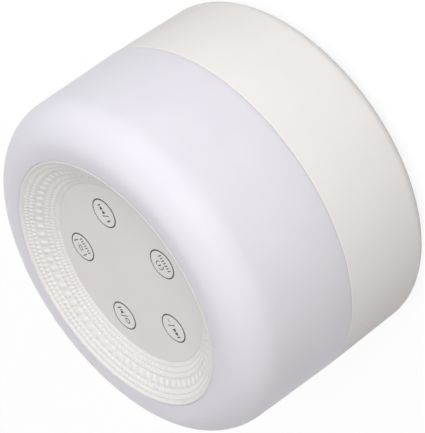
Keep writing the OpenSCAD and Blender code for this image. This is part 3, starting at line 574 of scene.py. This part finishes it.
def cut_inlet(base):
    """Adds the block behind the cable inlet, then cuts the recess and the socket's slot into it."""
    floor_y = BODY_R - INLET_DEPTH
    half_w, half_h = INLET_W / 2, INLET_H / 2
    slot_w, slot_h = SOCKET_W / 2 + FIT, SOCKET_H / 2 + FIT
    block = box_mesh(
        "inlet_block",
        (-half_w - INLET_WALL, floor_y - INLET_WALL, Z_INLET - half_h - INLET_WALL),
        (half_w + INLET_WALL, BODY_R - BLOCK_INSET, Z_INLET + half_h + INLET_WALL),
    )
    combine(base, block, "UNION")
    recess = box_mesh(
        "inlet_recess",
        (-half_w, floor_y, Z_INLET - half_h),
        (half_w, BODY_R + CUT_REACH, Z_INLET + half_h),
        INLET_CORNER_R,
    )
    combine(base, recess, "DIFFERENCE")
    slot = box_mesh(
        "inlet_slot",
        (-slot_w, floor_y - CUT_REACH, Z_INLET - slot_h),
        (slot_w, floor_y + CUT_OVERLAP, Z_INLET + slot_h),
        SOCKET_CORNER_R,
    )
    combine(base, slot, "DIFFERENCE")


def add_base():
    base = revolve("base_body", base_section(), SHELL_SEGMENTS, IVORY)
    cut_inlet(base)
    smooth(base.data)
    stand_for(base, "base_shell")


# ---------------------------------------------------------------- trim ring

RING_SEGMENTS = 1440
RIM_END = 150          # where the rim's arc, counted from the outside, hands over to the slope
RIM_STEPS = 10


def dome(distance, half_width):
    """The height of a round ridge of height 1, at a distance from its middle."""
    return math.sqrt(max(0, 1 - (distance / half_width) ** 2))


def wave(turn):
    """1 at each full turn and 0 halfway between, with turn in radians."""
    return 0.5 + 0.5 * math.cos(turn)


def ring_height(r, angle):
    """How far the ring's surface stands off its plain slope at a radius and an angle in radians."""
    height = 0
    for groove in GROOVES:
        if abs(r - groove) < GROOVE_HALF_W:
            height -= GROOVE_DEPTH * wave(math.pi * (r - groove) / GROOVE_HALF_W)
    for centre, half_width, ribs, rib_h in BANDS:
        height += dome(r - centre, half_width) * (BAND_CROWN + rib_h * wave(ribs * angle))
    pitch = 2 * math.pi / BEAD_COUNT
    off = (angle + pitch / 2) % pitch - pitch / 2
    from_bead = math.hypot((r - BEAD_CIRCLE_R) / BEAD_HALF_LENGTH, off * r / BEAD_HALF_WIDTH)
    return height + BEAD_H * dome(from_bead, 1)


def ring_relief(point, angle):
    """Moves a point of the ring's slope, which a third value marks, off the slope."""
    r, z = point[:2]
    if len(point) == 2:
        return r, z
    height = ring_height(r, angle)
    return r - height * math.sin(SLOPE_TILT), z + height * math.cos(SLOPE_TILT)


def z_ring_under(r):
    """The height of the ring's sloping underside at a radius."""
    return Z_RING_EDGE - (RING_R - r) * RING_SLOPE - RING_T


def add_trim_ring():
    count = round((SLOPE_OUT_R - SLOPE_IN_R) / SLOPE_STEP)
    radii = [SLOPE_OUT_R - i * (SLOPE_OUT_R - SLOPE_IN_R) / count for i in range(count + 1)]
    z_seat = Z_RING_EDGE - RING_FLANGE_T
    z_panel_seat = Z_PANEL - PANEL_T
    z_foot = z_panel_seat - RING_T
    panel_seat_bore = RING_IN - PANEL_SEAT_W
    skirt = RING_R - SEAT_W
    section = [(RING_OUT, z_seat)]
    section += arc(RING_OUT - RIM_R, Z_TOP - RIM_R, RIM_R, 0, RIM_END, RIM_STEPS)
    section += [(r, Z_PANEL + (r - SLOPE_IN_R) * SLOPE_RISE, "relief") for r in radii]
    section += [(RING_IN, Z_PANEL), (RING_IN, z_panel_seat)]
    section += [(panel_seat_bore, z_panel_seat), (panel_seat_bore, z_foot), (RING_FOOT_R, z_foot)]
    section += [(RING_FOOT_R, z_ring_under(RING_FOOT_R)), (skirt, z_ring_under(skirt)), (skirt, z_seat)]
    ring = revolve("ribbed_ring", section, RING_SEGMENTS, RING, ring_relief)
    stand_for(ring, "trim_ring")


# ---------------------------------------------------------------- printed symbols and painted gap shade

INK_T = 0.03           # how far the print stands above a key
INK_SUNK = 0.02
GAP_SHADE_LAP = 0.18      # painted shade of the gap round a key, as a dark ring: how far it laps onto the key, and how far it goes into the gap
GAP_SHADE_REACH = 0.22
GAP_SHADE_DEPTH = 0.12
GAP_SHADE_STEPS = 72
STROKE_STEPS = 24      # facets of a round stroke
SUN_RAYS = 8
SUN_RAY_R = 1.25


def bar(x, y, w, h, turn=0):
    """A rectangle turned about its middle."""
    c, s = math.cos(math.radians(turn)), math.sin(math.radians(turn))
    corners = ((-w / 2, -h / 2), (w / 2, -h / 2), (w / 2, h / 2), (-w / 2, h / 2))
    return [[(x + a * c - b * s, y + a * s + b * c) for a, b in corners]]


def triangle(x, y, w, h):
    """A triangle that points along +X for a positive w."""
    return [[(x - w / 2, y - h / 2), (x + w / 2, y), (x - w / 2, y + h / 2)]]


def ring_arc(x, y, r, w, start, end):
    """A band w wide on a circle, as quads."""
    inner = arc(x, y, r - w / 2, start, end, STROKE_STEPS)
    outer = arc(x, y, r + w / 2, start, end, STROKE_STEPS)
    return [[inner[i], outer[i], outer[i + 1], inner[i + 1]] for i in range(STROKE_STEPS)]


def ticks(y, count, pitch, w, tall, short):
    """A plain row of ticks, every second one shorter."""
    row = []
    for i in range(count):
        row += bar((i - (count - 1) / 2) * pitch, y, w, short if i % 2 else tall)
    return row


def power_symbol():
    shape = ring_arc(-1.75, -0.05, 0.85, 0.3, 125, 415) + bar(-1.75, 0.65, 0.24, 0.9)
    shape += bar(0, 0.1, 0.26, 3.3, -14) + triangle(1.42, 0, 1.0, 2.1)
    return shape + bar(2.02, 0, 0.24, 1.3) + bar(2.85, 0, 0.34, 2.0)


def light_symbol():
    shape = bar(-2.47, 1.3, 0.32, 2.2) + bar(2.7, 1.3, 0.32, 2.2) + ring_arc(0.05, 1.3, 0.72, 0.2, 0, 360)
    for i in range(SUN_RAYS):
        turn = 360 * i / SUN_RAYS
        x, y = SUN_RAY_R * math.cos(math.radians(turn)), SUN_RAY_R * math.sin(math.radians(turn))
        shape += bar(0.05 + x, 1.3 + y, 0.4, 0.14, turn)
    return shape + ticks(-1.6, 7, 0.8, 0.28, 1.45, 1.1)


def next_symbol():
    shape = bar(-2.64, 0, 0.75, 0.26) + bar(-2.64, 0, 0.36, 1.75) + bar(-0.95, 0, 0.26, 3.0, -16)
    return shape + triangle(0.5, 0, 1.25, 1.7) + triangle(1.9, 0, 1.2, 1.7) + bar(2.8, 0, 0.34, 1.6)


def previous_symbol():
    shape = bar(2.7, 0, 1.2, 0.24) + bar(1.02, 0.15, 0.26, 3.2, -12)
    shape += triangle(-0.8, 0, -1.25, 1.7) + triangle(-2.08, 0, -1.25, 1.7)
    return shape + bar(-3.0, 0, 0.34, 1.6)


def timer_symbol():
    shape = ring_arc(-0.05, 1.3, 1.42, 0.26, -45, 68) + ring_arc(-0.05, 1.3, 1.42, 0.26, 115, 245)
    return shape + bar(-0.05, 1.4, 0.34, 1.5) + ticks(-1.45, 7, 0.84, 0.3, 1.6, 1.25)


SYMBOLS = {
    "power": power_symbol, "light": light_symbol, "next": next_symbol, "previous": previous_symbol,
    "timer": timer_symbol,
}


def add_print_and_gap_shade(name):
    """The printed symbol on a key and painted shade of the gap round it, a dark ring over the key's edge and
    in the gap, as one thin mesh.
    """
    verts, faces = [], []
    for outline in SYMBOLS[name]():
        faces += prism_faces(len(outline), len(verts))
        verts += [(x, y, z) for z in (-INK_SUNK, INK_T) for x, y in outline]
    # A dark ring of painted shade over the key's edge and down into the gap round it.
    r_in, r_out = KEY_R - GAP_SHADE_LAP, KEY_R + GAP_SHADE_REACH
    gap_shade = [(r_in, INK_T / 2), (r_out, -INK_T / 2), (r_out, -GAP_SHADE_DEPTH), (r_in, -GAP_SHADE_DEPTH)]
    faces += band_faces(GAP_SHADE_STEPS, len(gap_shade), len(verts))
    for i in range(GAP_SHADE_STEPS):
        turn = 2 * math.pi * i / GAP_SHADE_STEPS
        verts += [(r * math.cos(turn), r * math.sin(turn), z) for r, z in gap_shade]
    angle = math.radians(KEYS[name])
    cx = (PANEL_R - KEY_MARGIN) * math.cos(angle)
    cy = (PANEL_R - KEY_MARGIN) * math.sin(angle)
    ink_and_gap_shade = add_mesh("print_and_gap_shade_" + name, [(cx + x, cy + y, Z_KEY + z) for x, y, z in verts], faces, INK_AND_GAP_SHADE)
    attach(ink_and_gap_shade, name + "_key")


add_diffuser()
add_base()
add_trim_ring()
for key_name in KEYS:
    add_print_and_gap_shade(key_name)


# ---------------------------------------------------------------- studio

# Lengths in this section are in metres
FLOOR_SIZE = 8.0
FLOOR_Z = -0.00005     # just under the feet
FLOOR_GLOW = 0.85      # what the camera sees of the floor before any light falls on it
FLOOR_EYE_ALBEDO = 0.22    # the floor's own grey, as the eye sees it
FLOOR_ALBEDO = 0.4     # the same for the light that it throws back at the object
WORLD_STRENGTH = 0.42
NEUTRAL = (1, 1, 1)
WARM = (1.0, 0.988, 0.975)
COOL = (0.955, 0.975, 1.0)
LIGHT_SIZE = 0.7
LIGHT_DISTANCE = 1.3
LIGHT_AIM_Z = 0.037    # half the drum's height


def seen_directly(tree):
    """1 for rays that the eye, a mirror or a glass sends, and 0 for the others."""
    path = tree.nodes.new("ShaderNodeLightPath")
    total = path.outputs["Is Camera Ray"]
    for kind in ("Is Glossy Ray", "Is Transmission Ray"):
        both = tree.nodes.new("ShaderNodeMath")
        both.operation = "MAXIMUM"
        tree.links.new(total, both.inputs[0])
        tree.links.new(path.outputs[kind], both.inputs[1])
        total = both.outputs[0]
    return total


def floor_material():
    """A floor that the eye sees as white with a soft shadow, and that lights the object less."""
    material = bpy.data.materials.new("floor")
    material.use_nodes = True
    tree = material.node_tree
    tree.nodes.clear()
    output = tree.nodes.new("ShaderNodeOutputMaterial")
    eye = seen_directly(tree)
    near = tree.nodes.new("ShaderNodeBsdfDiffuse")
    near.inputs["Color"].default_value = (*[FLOOR_EYE_ALBEDO] * 3, 1)
    glow = tree.nodes.new("ShaderNodeEmission")
    glow.inputs["Strength"].default_value = FLOOR_GLOW
    seen = tree.nodes.new("ShaderNodeAddShader")
    tree.links.new(near.outputs[0], seen.inputs[0])
    tree.links.new(glow.outputs[0], seen.inputs[1])
    far = tree.nodes.new("ShaderNodeBsdfDiffuse")
    far.inputs["Color"].default_value = (*[FLOOR_ALBEDO] * 3, 1)
    mix = tree.nodes.new("ShaderNodeMixShader")
    tree.links.new(eye, mix.inputs[0])
    tree.links.new(far.outputs[0], mix.inputs[1])
    tree.links.new(seen.outputs[0], mix.inputs[2])
    tree.links.new(mix.outputs[0], output.inputs["Surface"])
    return material


def add_floor():
    half = FLOOR_SIZE / 2
    mesh = bpy.data.meshes.new("floor")
    corners = [(x * half, y * half, FLOOR_Z) for x, y in ((-1, -1), (1, -1), (1, 1), (-1, 1))]
    mesh.from_pydata(corners, [], [(0, 1, 2, 3)])
    mesh.materials.append(floor_material())
    floor = bpy.data.objects.new("floor", mesh)
    bpy.context.scene.collection.objects.link(floor)


def add_world():
    """A plain world that the eye sees as white and that lights the object less."""
    world = bpy.data.worlds.new("studio")
    world.use_nodes = True
    bpy.context.scene.world = world
    tree = world.node_tree
    background = tree.nodes["Background"]
    background.inputs["Color"].default_value = (*NEUTRAL, 1)
    strength = tree.nodes.new("ShaderNodeMapRange")
    strength.inputs["To Min"].default_value = WORLD_STRENGTH
    strength.inputs["To Max"].default_value = 1
    tree.links.new(seen_directly(tree), strength.inputs["Value"])
    tree.links.new(strength.outputs["Result"], background.inputs["Strength"])


def add_area_light(name, offset, elevation, power, colour=NEUTRAL):
    """A square soft light; offset is its azimuth from the camera's, and power is in watts."""
    direction = toward(CAMERA_AZIMUTH + offset, elevation)
    data = bpy.data.lights.new(name, "AREA")
    data.size = LIGHT_SIZE
    data.energy = power
    data.color = colour
    light = bpy.data.objects.new(name, data)
    bpy.context.scene.collection.objects.link(light)
    light.location = Vector((0, 0, LIGHT_AIM_Z)) + direction * LIGHT_DISTANCE
    light.rotation_euler = direction.to_track_quat("Z", "Y").to_euler()


add_floor()
add_world()
add_area_light("front_light", offset=0, elevation=38, power=3.9, colour=WARM)
add_area_light("key_light", offset=45, elevation=40, power=1.9, colour=COOL)
add_area_light("low_front_light", offset=0, elevation=10, power=4.55, colour=WARM)
add_area_light("low_side_light", offset=45, elevation=10, power=3.05, colour=COOL)
add_area_light("edge_light", offset=90, elevation=10, power=1.65, colour=COOL)
add_area_light("back_light", offset=180, elevation=5, power=0.9)
add_area_light("far_side_light", offset=-90, elevation=10, power=0.6)

bpy.context.scene.view_settings.view_transform = "Standard"
